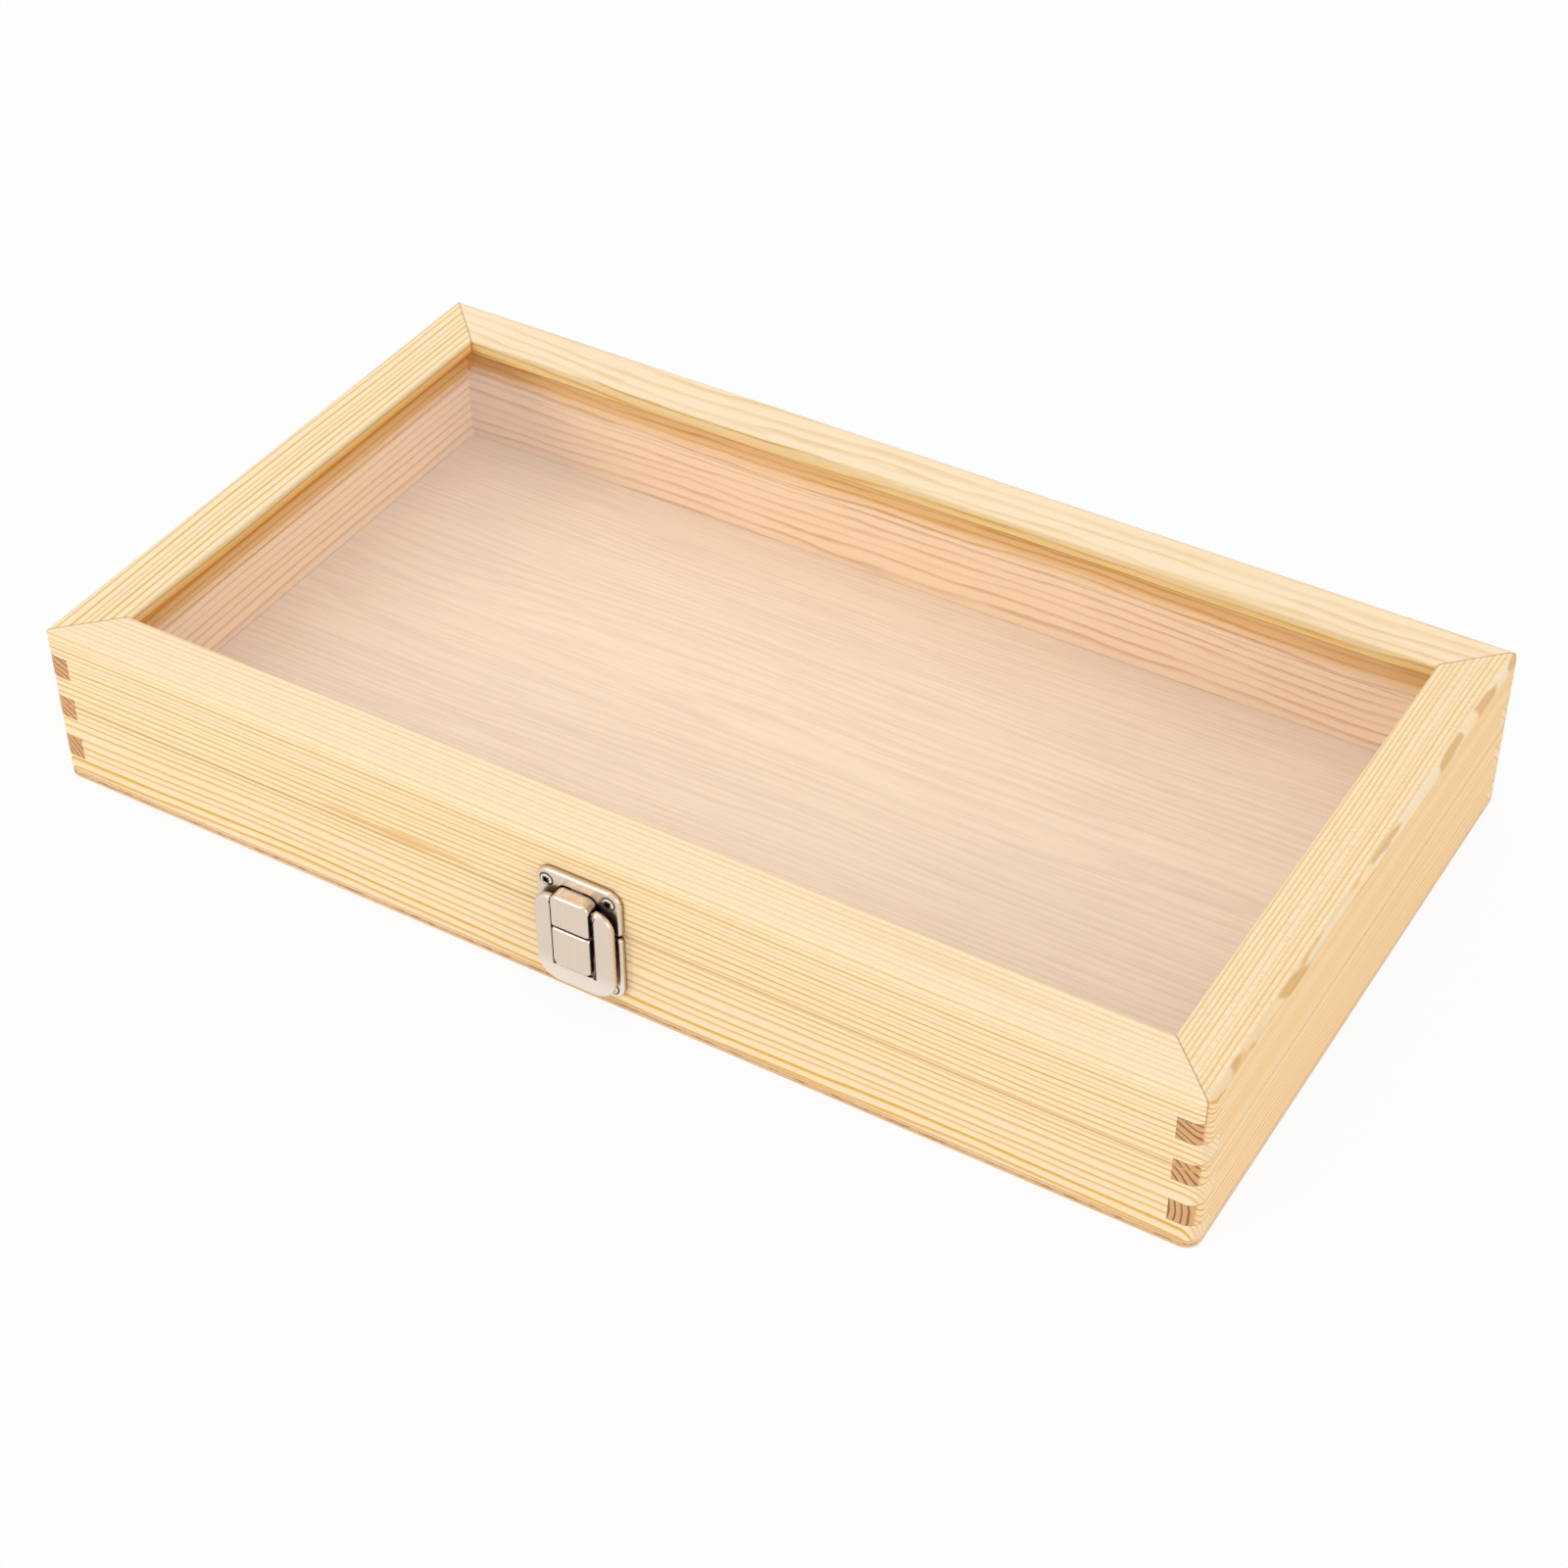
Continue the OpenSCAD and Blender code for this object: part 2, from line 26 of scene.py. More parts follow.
back = Vector((math.sin(turn) * math.cos(lift), -math.cos(turn) * math.cos(lift), math.sin(lift)))
right = Vector((0, 0, 1)).cross(back).normalized()
up = back.cross(right)
right, up = (right * math.cos(roll) + up * math.sin(roll),
             up * math.cos(roll) - right * math.sin(roll))
camera = bpy.data.objects.new("camera", bpy.data.cameras.new("camera"))
bpy.context.scene.collection.objects.link(camera)
standing = Matrix.Translation(right * shift_right + up * shift_up + back * distance)
camera.matrix_world = standing @ Matrix((right, up, back)).transposed().to_4x4()
camera.data.sensor_width = sensor_width
camera.data.lens = sensor_width * focal_pixels / frame_pixels
camera.data.clip_start = 0.01
bpy.context.scene.camera = camera
bpy.context.scene.view_settings.view_transform = "Standard"

# Pine boards
# Eight boards of pale, straight grained pine, finger jointed at the corners, sanded and
# left bare. The box was glued up in one piece and then sawn apart into base and lid.
half_length, half_width, seam_height = 187.5, 105.0, 28.75
inner_x, inner_y = 179.0, 96.5
window_x, window_y = 169.0, 86.5
pane_top, mitre_height, frame_top = 48.6, 46.0, 53.0
finger_start, finger_height = 8.5, 7.5


def feed(tree, socket, value):
    """Gives a socket a plain value, or links it to another node's output."""
    if isinstance(value, bpy.types.NodeSocket):
        tree.links.new(value, socket)
    else:
        socket.default_value = value


def wire(tree, node_type, **inputs):
    """Adds a node, with its settings in lower case and its sockets by name or number."""
    node = tree.nodes.new(node_type)
    for name, value in inputs.items():
        key = int(name[1:]) if name[0] == "_" else name.replace("_", " ").title()
        if isinstance(key, str) and key not in node.inputs:
            setattr(node, name, value)
        else:
            feed(tree, node.inputs[key], value)
    return node


def maths(tree, operation, first, second=0.0, third=0.0, clamp=False):
    return wire(tree, "ShaderNodeMath", operation=operation, _0=first, _1=second, _2=third,
                use_clamp=clamp).outputs[0]


def product(tree, first, *others):
    for other in others:
        first = maths(tree, "MULTIPLY", first, other)
    return first


def sum_of_squares(tree, first, second):
    return maths(tree, "MULTIPLY_ADD", first, first, maths(tree, "MULTIPLY", second, second))


def above(tree, value, limit):
    return maths(tree, "GREATER_THAN", value, limit)


def below(tree, value, limit):
    return maths(tree, "LESS_THAN", value, limit)


def apart(tree, value, middle):
    """How far a value is from a middle, on either side."""
    return maths(tree, "ABSOLUTE", maths(tree, "SUBTRACT", value, middle))


def rises(tree, value, low, high):
    """Nothing up to low, one from high on, and a smooth slope between."""
    return wire(tree, "ShaderNodeMapRange", interpolation_type="SMOOTHSTEP", value=value,
                _1=low, _2=high).outputs[0]


def falls(tree, value, low, high):
    """One up to low, nothing from high on, and a smooth slope between."""
    return maths(tree, "SUBTRACT", 1.0, rises(tree, value, low, high))


def split(tree, vector):
    """The x, y and z of a vector."""
    return wire(tree, "ShaderNodeSeparateXYZ", vector=vector).outputs


def facing(tree, normal, axis):
    """How squarely a face looks along an axis, to either side: one is full on."""
    return maths(tree, "ABSOLUTE", split(tree, normal)[axis])


def scaled(tree, place, x, y, z):
    return wire(tree, "ShaderNodeVectorMath", operation="MULTIPLY", _0=place,
                _1=(x, y, z)).outputs[0]


def stretched(tree, place, along, across):
    """Pattern units per millimetre, fewer along the grain in X than across it."""
    return scaled(tree, place, along, across, across)


def in_millimetres(tree, place):
    return wire(tree, "ShaderNodeVectorMath", operation="SCALE", _0=place,
                scale=1000.0).outputs[0]


def noise(tree, place, detail=2.0, rough=0.5):
    return wire(tree, "ShaderNodeTexNoise", vector=place, scale=1.0, detail=detail,
                roughness=rough).outputs[0]


def noise_along(tree, length, scale, detail):
    return wire(tree, "ShaderNodeTexNoise", noise_dimensions="1D", w=length, scale=scale,
                detail=detail).outputs[0]


def lay(tree, share, under, over, how="MIX"):
    """Lays a colour over another one. A plain colour is red, green and blue."""
    node = tree.nodes.new("ShaderNodeMix")
    node.data_type = "RGBA"
    node.blend_type = how
    feed(tree, node.inputs[0], share)
    for socket, colour in zip(node.inputs[6:8], (under, over)):
        plain = not isinstance(colour, bpy.types.NodeSocket)
        feed(tree, socket, (*colour, 1) if plain else colour)
    return node.outputs[2]


def new_group(name, inputs, outputs):
    """A node group with named sockets, and what its input node gives out."""
    group = bpy.data.node_groups.new(name, "ShaderNodeTree")
    for socket, kind in inputs.items():
        group.interface.new_socket(socket, in_out="INPUT", socket_type="NodeSocket" + kind)
    for socket in outputs:
        group.interface.new_socket(socket, in_out="OUTPUT", socket_type="NodeSocketFloat")
    return group, group.nodes.new("NodeGroupInput").outputs


def close_group(group, *values):
    for socket, value in zip(group.nodes.new("NodeGroupOutput").inputs, values):
        group.links.new(value, socket)
    return group


def new_material(name):
    material = bpy.data.materials.new(name)
    material.use_nodes = True
    return material, material.node_tree, material.node_tree.nodes["Principled BSDF"]


def grain_group():
    """Year rings round a pith that runs along X, in millimetres."""
    group, given = new_group("pine year rings",
                             {"Position": "Vector", "Pith": "Vector", "Ring Width": "Float",
                              "Wander": "Float", "Ripple": "Float"},
                             ("Late Wood", "Fibre", "Ring Tone", "Streak"))
    place = given["Position"]
    offset = wire(group, "ShaderNodeVectorMath", operation="SUBTRACT", _0=place,
                  _1=given["Pith"]).outputs[0]
    radius = wire(group, "ShaderNodeVectorMath", operation="LENGTH",
                  _0=scaled(group, offset, 0, 1, 1)).outputs["Value"]
    for along, across, detail, reach in ((0.006, 0.02, 1.0, given["Wander"]),
                                         (0.03, 0.2, 2.0, given["Ripple"])):
        bend = noise(group, stretched(group, place, along, across), detail)
        bend = maths(group, "SUBTRACT", bend, 0.5)
        radius = maths(group, "ADD", radius, maths(group, "MULTIPLY", bend, reach))
    # good and bad years in turn
    radius = maths(group, "MULTIPLY_ADD", noise_along(group, radius, 0.23, 1.0), 1.2, radius)
    rings = maths(group, "DIVIDE", radius, given["Ring Width"])
    share = maths(group, "FRACT", rings)
    late = product(group, rises(group, share, 0.5, 0.84), falls(group, share, 0.9, 1.0))
    tone = wire(group, "ShaderNodeTexWhiteNoise", noise_dimensions="1D",
                w=maths(group, "FLOOR", rings)).outputs[0]
    fibre = noise(group, stretched(group, place, 0.05, 3.0), 3.0, 0.6)
    streak = noise(group, stretched(group, place, 0.008, 0.12))
    return close_group(group, late, fibre, tone, streak)


def joint_group():
    """Marks of the joints between the boards, and painted shade at the seam, pane, window edge
    and inside, from the place on the case in millimetres.
    """
    group, given = new_group("board joints and painted shade", {"Position": "Vector", "Facing": "Vector"},
                             ("Hairline", "Finger Edge", "Seam Shade", "Window Edge Shade", "Inside"))
    x, y, z = split(group, given["Position"])
    x, y = maths(group, "ABSOLUTE", x), maths(group, "ABSOLUTE", y)
    flat = facing(group, given["Facing"], 2)
    off_mitre = apart(group, maths(group, "SUBTRACT", x, y), half_length - half_width)
    mitre = product(group, falls(group, off_mitre, 0.1, 0.42), above(group, z, mitre_height))
    finger = maths(group, "DIVIDE", maths(group, "SUBTRACT", z, finger_start), finger_height)
    off_edge = apart(group, finger, maths(group, "ROUND", finger))
    edge = product(group, falls(group, off_edge, 0.01, 0.04),
                   above(group, x, inner_x - 0.1), above(group, y, inner_y - 0.1),
                   above(group, z, finger_start - 0.3), below(group, z, mitre_height + 0.4))
    # painted shade: a dark line along the seam between base and lid
    seam_shade = product(group, falls(group, apart(group, z, seam_height), 0.2, 0.8),
                  above(group, y, half_width - 1.5), below(group, flat, 0.5))
    # painted shade in the window edge
    window_shade = product(group, below(group, x, window_x + 0.4), below(group, y, window_y + 0.4),
                     above(group, z, pane_top - 0.6), falls(group, flat, 0.3, 0.9))
    # painted shadow line where the pane sits in the groove
    pane_shadow_line = product(group, window_shade, falls(group, z, pane_top + 0.1, pane_top + 0.4))
    # painted shade on the inside walls
    inside_shade = product(group, below(group, x, inner_x + 0.2), below(group, y, inner_y + 0.2),
                     below(group, z, pane_top - 0.1))
    return close_group(group, maths(group, "MAXIMUM", mitre, pane_shadow_line), edge, seam_shade, window_shade, inside_shade)


year_rings = grain_group()
joints_and_painted_shade = joint_group()


def pine(name, grain_turn, pith, ring_width, wander, face, end, end_pith=None, ripple=0.5,
         fading=0.0, quiet_top=0.0, chatter=0.0, window_shade_tint=(0.92, 0.74, 0.44),
         side_shade_tint=(0.995, 0.985, 0.96), joints=True, extra=None):
    """Bare pine whose grain runs along X, or along Y after a quarter turn.

    Face and end each hold the colours of early and of late wood. Fading lets lines come and
    go, quiet_top pales them on top, and chatter adds the short marks of a blunt planer.
    The side and window tints are painted shade, on the sides and in the window edge.
    """
    material, tree, shader = new_material(name)
    place = wire(tree, "ShaderNodeTexCoord").outputs
    normal = place["Normal"]
    millimetres = in_millimetres(tree, place["Object"])
    board = wire(tree, "ShaderNodeMapping", vector=millimetres,
                 rotation=(0, 0, grain_turn)).outputs[0]
    rings = wire(tree, "ShaderNodeGroup", node_tree=year_rings, position=board, pith=pith,
                 ring_width=ring_width, wander=wander, ripple=ripple).outputs
    on_top = rises(tree, facing(tree, normal, 2), 0.5, 0.95)

    pale, dark = face
    line = maths(tree, "MULTIPLY", rings["Late Wood"],
                 maths(tree, "MULTIPLY_ADD", rings["Ring Tone"], 0.6, 0.55), clamp=True)
    if fading:
        kept = rises(tree, noise(tree, stretched(tree, board, 0.025, 0.16), 1.0), 0.36, 0.62)
        line = maths(tree, "MULTIPLY", line,
                     maths(tree, "MULTIPLY_ADD", kept, fading, 1.15 - fading), clamp=True)
    line = product(tree, line, maths(tree, "MULTIPLY_ADD", on_top, -quiet_top, 1.0))
    warm = tuple(a * 0.7 + b * 0.3 for a, b in zip(pale, dark))
    streak = product(tree, rises(tree, rings["Streak"], 0.5, 0.8), 0.5)
    colour = lay(tree, line, lay(tree, streak, pale, warm), dark)
    colour = lay(tree, product(tree, rises(tree, rings["Fibre"], 0.5, 0.8), 0.2), colour, dark)
    if chatter:
        dents = rises(tree, noise(tree, stretched(tree, board, 1.9, 0.5), 2.0, 0.6), 0.5, 0.66)
        colour = lay(tree, product(tree, dents, on_top, chatter), colour, dark)
    # painted shade: the sides are tinted darker than the tops
    colour = lay(tree, maths(tree, "SUBTRACT", 1.0, on_top), colour, side_shade_tint, "MULTIPLY")

    end_line = rings["Late Wood"]
    if end_pith:
        end_line = wire(tree, "ShaderNodeGroup", node_tree=year_rings, position=board,
                        pith=end_pith, ring_width=1.9, wander=0.8,
                        ripple=0.5).outputs["Late Wood"]
    across = wire(tree, "ShaderNodeMapping", vector=normal,
                  rotation=(0, 0, grain_turn)).outputs[0]
    cut_end = rises(tree, facing(tree, across, 0), 0.6, 0.8)
    colour = lay(tree, cut_end, colour, lay(tree, product(tree, end_line, 0.9), *end))

    if joints:
        marks = wire(tree, "ShaderNodeGroup", node_tree=joints_and_painted_shade, position=millimetres,
                     facing=normal).outputs
        # painted shade, in the window edge deepest towards the pane, and on the inside walls
        recess_shade = falls(tree, split(tree, millimetres)[2], pane_top + 0.6, frame_top)
        for share, tint in ((product(tree, marks["Window Edge Shade"], recess_shade), window_shade_tint),
                            (marks["Window Edge Shade"], (1.0, 0.97, 0.87)),
                            (marks["Inside"], (0.95, 0.81, 0.65))):
            colour = lay(tree, share, colour, tint, "MULTIPLY")
    if extra:
        colour = extra(tree, normal, millimetres, colour)
    if joints:
        # painted shade: the line along the seam and the pane's part of the hairline; the finger
        # edges and mitres are dark joints
        for mark, share, tint in (("Seam Shade", 0.6, (0.78, 0.40, 0.09)),
                                  ("Finger Edge", 0.5, (0.45, 0.22, 0.08)),
                                  ("Hairline", 0.65, (0.35, 0.17, 0.05))):
            colour = lay(tree, product(tree, marks[mark], share), colour, tint)
    feed(tree, shader.inputs["Base Color"], colour)
    shader.inputs["Roughness"].default_value = 0.55
    shader.inputs["Specular IOR Level"].default_value = 0.3
    relief = maths(tree, "MULTIPLY_ADD", rings["Late Wood"], 0.5, rings["Fibre"])
    bump = wire(tree, "ShaderNodeBump", strength=0.12, distance=0.0002, height=relief)
    feed(tree, shader.inputs["Normal"], bump.outputs[0])
    return material


def resin_streak(tree, normal, millimetres, colour):
    """A lens of orange late wood just above the saw cut, left of the latch."""
    middle_x, middle_z = -62.0, 31.0
    reach_x, reach_z = 34.0, 1.3
    x, y, z = split(tree, millimetres)
    bend = maths(tree, "SUBTRACT", noise(tree, stretched(tree, millimetres, 0.04, 0.3)), 0.5)
    high = maths(tree, "MULTIPLY_ADD", bend, 3.0, z)
    along = maths(tree, "DIVIDE", maths(tree, "SUBTRACT", x, middle_x), reach_x)
    off = maths(tree, "DIVIDE", maths(tree, "SUBTRACT", high, middle_z), reach_z)
    share = product(tree, falls(tree, sum_of_squares(tree, along, off), 0.4, 1.0),
                    below(tree, y, 1.0 - half_width), 0.6)
    return lay(tree, share, colour, (0.80, 0.44, 0.14))


def arris_patches(tree, normal, millimetres, colour):
    """A pale band of painted highlight on the rounded arris, with short brown dashes of grain,
    along the outer top edge of one board.
    """
    x, y, _ = split(tree, millimetres)
    upward = split(tree, normal)[2]
    outer = above(tree, x, half_length - 3.5)
    # painted highlight along the rounded arris
    band = product(tree, rises(tree, upward, 0.2, 0.45), falls(tree, upward, 0.85, 0.97))
    arris_highlight = product(tree, band, outer, rises(tree, noise_along(tree, y, 0.05, 2.0), 0.35, 0.5))
    colour = lay(tree, product(tree, arris_highlight, 0.45), colour, (0.90, 0.78, 0.60))
    band = product(tree, rises(tree, upward, 0.1, 0.35), falls(tree, upward, 0.85, 0.99))
    lens = noise(tree, scaled(tree, millimetres, 0.22, 0.06, 0.22), 1.0)
    dash = product(tree, band, outer, rises(tree, lens, 0.52, 0.6))
    return lay(tree, product(tree, dash, 0.65), colour, (0.66, 0.34, 0.07))


def dress(material, *names):
    for name in names:
        mesh = nodes[name].data
        mesh.materials.clear()
        mesh.materials.append(material)


cream, honey = (0.975, 0.785, 0.535), (0.80, 0.45, 0.05)
pale_end = (0.94, 0.71, 0.43), (0.82, 0.55, 0.27)
brown_end = (0.72, 0.40, 0.18), (0.24, 0.09, 0.025)
quarter = math.radians(90)
front_pine = pine("front board pine", 0, (0, -158, -12), 1.3, 2.6, (cream, honey), pale_end,
                  quiet_top=0.55, extra=resin_streak)
back_pine = pine("back board pine", 0, (0, 30, -45), 2.7, 9.0, (cream, (0.74, 0.42, 0.08)),
                 pale_end, ripple=2.6, fading=0.6, quiet_top=0.6, window_shade_tint=(1.0, 0.9, 0.64))
left_pine = pine("left board pine", -quarter, (0, 287, -45), 1.6, 4.0, (cream, honey),
                 brown_end, end_pith=(0, 203, -5), window_shade_tint=(0.95, 0.62, 0.26))
right_pine = pine("right board pine", -quarter, (0, -57, -65), 1.1, 3.0,
                  (cream, (0.80, 0.47, 0.08)), brown_end, end_pith=(0, -165, 12),
                  quiet_top=0.25, chatter=0.35, side_shade_tint=(0.985, 0.89, 0.76),
                  extra=arris_patches)
dress(front_pine, "base_front_wall", "lid_front_rail")
dress(back_pine, "base_back_wall", "lid_back_rail")
dress(left_pine, "base_left_wall", "lid_left_rail")
dress(right_pine, "base_right_wall", "lid_right_rail")

# Bottom and floor board
# A thin plywood sheet glued under the walls, with its layers showing at the edge,
# and a loose veneered board that lies on it and shows through the pane.


def open_pores(tree, normal, millimetres, colour):
    """Short dark pores, brown threads and slow light bands of a sliced hardwood face."""
    for along, across, detail, rough, low, high, share, tint in (
            (0.22, 2.6, 2.0, 0.6, 0.6, 0.72, 0.35, (0.74, 0.50, 0.32)),
            (0.02, 0.9, 3.0, 0.7, 0.42, 0.62, 0.55, (0.76, 0.52, 0.335)),
            (0.01, 0.12, 4.0, 0.7, 0.45, 0.7, 0.5, (0.95, 0.71, 0.49))):
        spots = noise(tree, stretched(tree, millimetres, along, across), detail, rough)
        spots = product(tree, rises(tree, spots, low, high), share)
        colour = lay(tree, spots, colour, tint)
    return colour


def glue_layers(tree, normal, millimetres, colour):
    """The edge of the sheet: pale face, a dark glue line and a brown cross layer."""
    cross_start, cross_end, glue_line = 0.7, 1.9, 2.3
    z = split(tree, millimetres)[2]
    end_on = rises(tree, facing(tree, normal, 1), 0.2, 0.9)
    edge = product(tree, falls(tree, facing(tree, normal, 2), 0.4, 0.7),
                   maths(tree, "MULTIPLY_ADD", end_on, 0.65, 0.35))
    torn = noise(tree, stretched(tree, millimetres, 0.35, 1.5), 3.0, 0.7)
    cross_layer = lay(tree, rises(tree, torn, 0.45, 0.6), (0.74, 0.46, 0.23), (0.50, 0.25, 0.10))
    middle = product(tree, rises(tree, z, cross_start, cross_start + 0.15),
                     falls(tree, z, cross_end - 0.15, cross_end), edge)
    colour = lay(tree, middle, colour, cross_layer)
    glue = product(tree, rises(tree, z, glue_line, glue_line + 0.25), edge, 0.6)
    return lay(tree, glue, colour, (0.45, 0.22, 0.08))


sheet_wood = (0.90, 0.68, 0.44), (0.72, 0.46, 0.24)
veneer = (0.93, 0.68, 0.465), (0.84, 0.60, 0.40)
bottom_ply = pine("bottom ply", 0, (0, 0, -400), 0.9, 2.0, sheet_wood, sheet_wood,
                  joints=False, extra=glue_layers)
floor_veneer = pine("floor veneer", 0, (0, 12, -70), 1.1, 9.0, veneer, pale_end,
                    joints=False, extra=open_pores)
dress(bottom_ply, "bottom_panel")
dress(floor_veneer, "floor_liner")

# Pane
# A clear sheet of glass, held in the groove of the four lid boards. The lamps shine
# straight through it, as they do through thin flat glass.
clear_glass, tree, shader = new_material("clear glass")
for name, value in (("Base Color", (0.99, 1.0, 0.99, 1)), ("Roughness", 0.0), ("IOR", 1.5),
                    ("Transmission Weight", 1.0)):
    shader.inputs[name].default_value = value
straight = wire(tree, "ShaderNodeBsdfTransparent", color=(0.97, 0.98, 0.97, 1))
lamp_ray = wire(tree, "ShaderNodeLightPath").outputs["Is Shadow Ray"]
glass = wire(tree, "ShaderNodeMixShader", _0=lamp_ray, _1=shader.outputs[0],
             _2=straight.outputs[0])
feed(tree, tree.nodes["Material Output"].inputs["Surface"], glass.outputs[0])
dress(clear_glass, "glass_pane")

# Latch and hinges
# Pressed steel sheet with a warm satin nickel plate, screwed to the boards. Painted shade
# lies dark in the gaps between the plates, in the screws' crosses and round their heads.
# black of the painted shade in the narrowest gaps
gap_shadow_black = (0.03, 0.02, 0.015)
latch_middle = 1.2


def nickel_group():
    """Slow clouds of the plating, and where painted shade lies in its wide and its narrow gaps.
    """
    group, given = new_group("nickel clouds and painted gap shade", {"Position": "Vector"},
                             ("Cloud", "Wide Gap", "Narrow Gap"))
    found = [noise(group, scaled(group, given["Position"], 900, 300, 90), 3.0)]
    for reach, low, high in ((0.006, 0.15, 0.8), (0.0016, 0.35, 0.85)):
        open_sky = wire(group, "ShaderNodeAmbientOcclusion", samples=24, distance=reach)
        found.append(falls(group, open_sky.outputs["AO"], low, high))
    return close_group(group, *found)


nickel_clouds_and_shade = nickel_group()


def plated(name, colour, rough):
    """Nickel that is clean on its open faces and dark with painted shade in the gaps."""
    material, tree, shader = new_material(name)
    clouds_and_shade = wire(tree, "ShaderNodeGroup", node_tree=nickel_clouds_and_shade,
                position=wire(tree, "ShaderNodeTexCoord").outputs["Object"]).outputs
    tone = maths(tree, "MULTIPLY_ADD", clouds_and_shade["Cloud"], 0.08, 0.96)
    shade = wire(tree, "ShaderNodeVectorMath", operation="SCALE", _0=colour,
                 scale=tone).outputs[0]
    # painted shade, brown in the wide gaps and black in the narrow ones
    for gap, share, gap_shade in (("Wide Gap", 0.75, (0.20, 0.13, 0.09)), ("Narrow Gap", 0.92, gap_shadow_black)):
        shade = lay(tree, product(tree, clouds_and_shade[gap], share), shade, gap_shade)
    feed(tree, shader.inputs["Base Color"], shade)
    shader.inputs["Metallic"].default_value = 1.0
    feed(tree, shader.inputs["Roughness"],
         maths(tree, "MULTIPLY_ADD", clouds_and_shade["Cloud"], 0.12, rough))
    return material


def slotted(name, outward, rim, middle=None, spread=None):
    """Screw nickel with painted shade below the rim, in the cross and in the ring round the head.
    """
    ring_start, ring_full = 1.65, 1.85
    arm_half_width, arm_half_length = 0.34, 1.15
    material = plated(name, (0.93, 0.80, 0.66), 0.2)
    tree = material.node_tree
    base_colour = tree.nodes["Principled BSDF"].inputs["Base Color"]
    place = in_millimetres(tree, wire(tree, "ShaderNodeTexCoord").outputs["Object"])
    x, y, z = split(tree, place)
    out = maths(tree, "SUBTRACT", product(tree, y, outward), half_width)
    # painted shade below the rim of the head
    recess_shade = falls(tree, out, rim - 0.12, rim + 0.04)
    if middle:
        # the four heads mirror each other about the middle of the latch
        across, high = (maths(tree, "SUBTRACT", apart(tree, value, centre), reach)
                        for value, centre, reach in zip((x, z), middle, spread))
        from_axis = maths(tree, "SQRT", sum_of_squares(tree, across, high))
        # painted shade in a ring round the head and in its cross
        ring = product(tree, rises(tree, from_axis, ring_start, ring_full), 0.9)
        recess_shade = maths(tree, "MAXIMUM", recess_shade, ring)
        across, high = (maths(tree, "ABSOLUTE", value) for value in (across, high))
        for one, other in ((across, high), (high, across)):
            arm = product(tree, below(tree, one, arm_half_width),
                          below(tree, other, arm_half_length))
            recess_shade = maths(tree, "MAXIMUM", recess_shade, arm)
    shade = lay(tree, recess_shade, base_colour.links[0].from_socket, (0.05, 0.03, 0.02))
    feed(tree, base_colour, shade)
    return material


def gapped():
    """Satin nickel with painted shade black beside and across the latch's tongue, and a painted
    highlight on the foot of the frame.
    """
    tongue_side, arm_side = 6.15, 7.0
    gap_foot, gap_top = 13.0, 37.5
    material = plated("satin nickel", (0.76, 0.64, 0.52), 0.22)
    tree = material.node_tree
    base_colour = tree.nodes["Principled BSDF"].inputs["Base Color"]
    place = in_millimetres(tree, wire(tree, "ShaderNodeTexCoord").outputs["Object"])
    x, y, z = split(tree, place)
    front = below(tree, y, -1.5 - half_width)
    aside = apart(tree, x, latch_middle)
    # painted shade, black in the gaps beside the tongue and across it
    between = product(tree, rises(tree, aside, tongue_side - 0.2, tongue_side),
                      falls(tree, aside, arm_side, arm_side + 0.4),
                      above(tree, z, gap_foot), below(tree, z, gap_top))
    lip = product(tree, falls(tree, apart(tree, z, seam_height + 0.1), 0.4, 0.6),
                  below(tree, aside, tongue_side + 0.15))
    # painted highlight, paler on the foot of the frame
    foot_highlight = product(tree, falls(tree, z, 10.0, 17.0), front, 0.7)
    shade = lay(tree, foot_highlight, base_colour.links[0].from_socket, (0.93, 0.84, 0.75))
    gap_shade = product(tree, maths(tree, "MAXIMUM", between, lip), front, 0.92)
    feed(tree, base_colour, lay(tree, gap_shade, shade, gap_shadow_black))
    return material


nickel = gapped()
latch_screw_nickel = slotted("latch screw nickel", -1, 2.0, middle=(latch_middle, 24.7),
                             spread=(10.05, 15.7))
hinge_screw_nickel = slotted("hinge screw nickel", 1, 1.0)
pin_steel = plated("pin steel", (0.6, 0.58, 0.55), 0.3)
dress(nickel, "catch_plate", "latch_top_plate", "latch_frame", "hinge_left_base_leaf",
      "hinge_right_base_leaf", "hinge_left_lid_leaf", "hinge_right_lid_leaf")
dress(latch_screw_nickel, "catch_screws", "latch_top_screws")
dress(hinge_screw_nickel, "hinge_base_screws", "hinge_lid_screws")
dress(pin_steel, "hinge_left_pin", "hinge_right_pin", "latch_frame_pin")

# Studio
# A white table in a white room, lit by soft lamps. Only the eye, gloss and glass see
# them at full white, so that they add little light of their own.


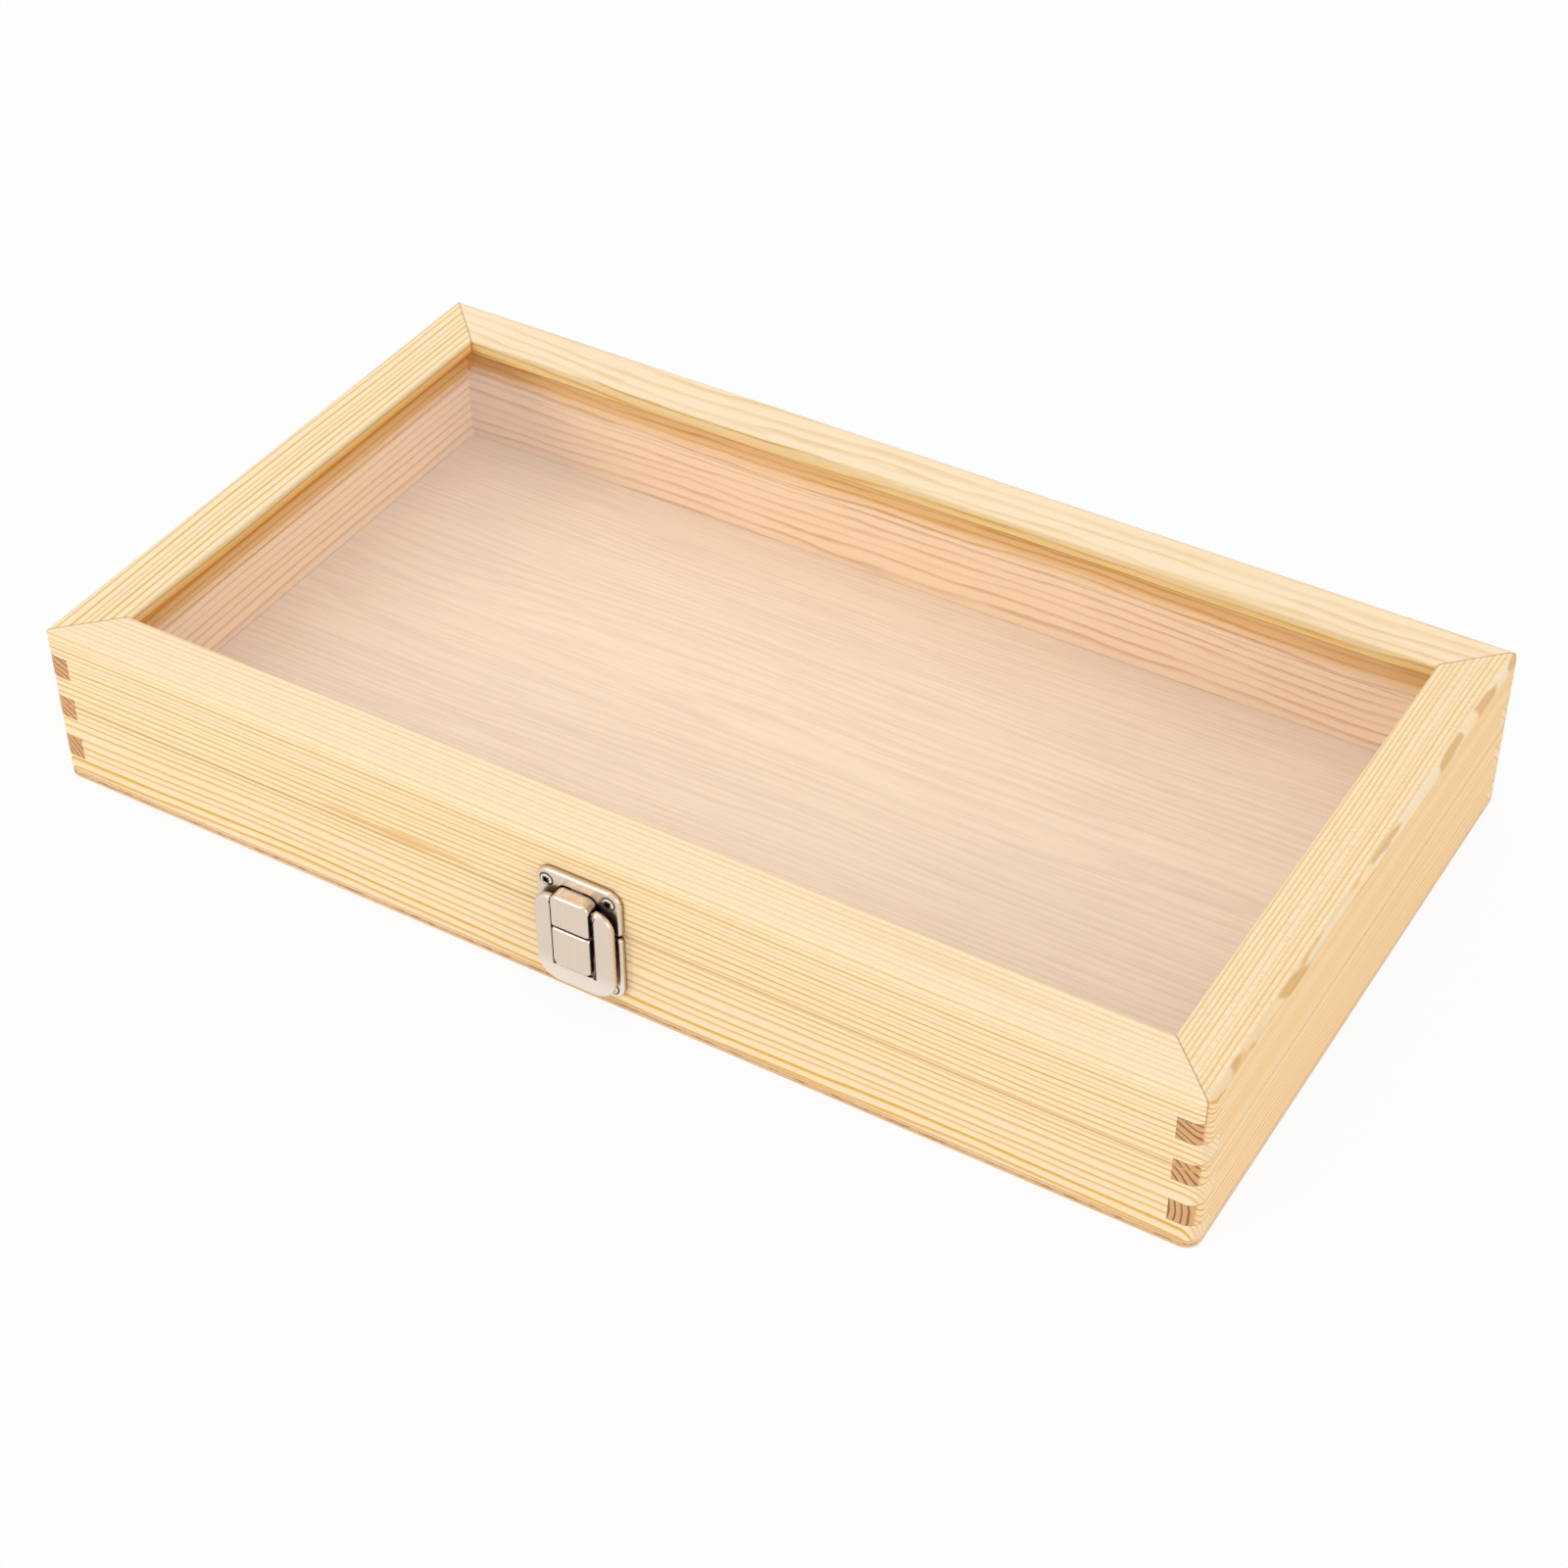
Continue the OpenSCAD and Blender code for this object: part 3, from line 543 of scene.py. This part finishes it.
def seen(tree):
    """One for what the camera sees, directly or in metal and glass."""
    path = wire(tree, "ShaderNodeLightPath").outputs
    direct = maths(tree, "ADD", path["Is Camera Ray"], path["Is Glossy Ray"])
    return maths(tree, "ADD", direct, path["Is Transmission Ray"], clamp=True)


table = bmesh.new()
bmesh.ops.create_grid(table, x_segments=1, y_segments=1, size=6.0)
ground = bpy.data.objects.new("table", bpy.data.meshes.new("table"))
table.to_mesh(ground.data)
table.free()
bpy.context.scene.collection.objects.link(ground)
white_top, tree, shader = new_material("white table top")
shader.inputs["Base Color"].default_value = (0.9, 0.9, 0.9, 1)
shader.inputs["Roughness"].default_value = 0.8
glow = wire(tree, "ShaderNodeEmission", color=(1, 1, 1, 1), strength=1.0)
surface = wire(tree, "ShaderNodeMixShader", _0=product(tree, seen(tree), 0.9),
               _1=shader.outputs[0], _2=glow.outputs[0])
feed(tree, tree.nodes["Material Output"].inputs["Surface"], surface.outputs[0])
ground.data.materials.append(white_top)

room_light = 0.71
world = bpy.data.worlds.new("white room")
bpy.context.scene.world = world
world.use_nodes = True
tree = world.node_tree
room = tree.nodes["Background"]
room.inputs["Color"].default_value = (1, 1, 1, 1)
feed(tree, room.inputs["Strength"],
     maths(tree, "MULTIPLY_ADD", seen(tree), 1 - room_light, room_light))


def lamp(name, place, aim, size, watts):
    light = bpy.data.lights.new(name, "AREA")
    light.shape = "RECTANGLE"
    light.size, light.size_y = size
    light.energy = watts
    stand = bpy.data.objects.new(name, light)
    stand.location = place
    towards = Vector(aim) - Vector(place)
    stand.rotation_euler = towards.to_track_quat("-Z", "Y").to_euler()
    bpy.context.scene.collection.objects.link(stand)


# this one shows in the pane as the pale sheen of the photograph
lamp("back lamp", (-0.75, 1.3, 1.15), (0, 0, 0.03), (1.7, 1.3), 5)
lamp("key lamp", (-0.9, -1.7, 0.8), (0, 0, 0.02), (0.5, 0.5), 9)
lamp("side lamp", (1.9, -0.5, 0.7), (0, 0, 0.02), (0.5, 0.5), 7)
lamp("top lamp", (0, -0.1, 2.4), (0, 0, 0.03), (1.4, 1.4), 5.5)
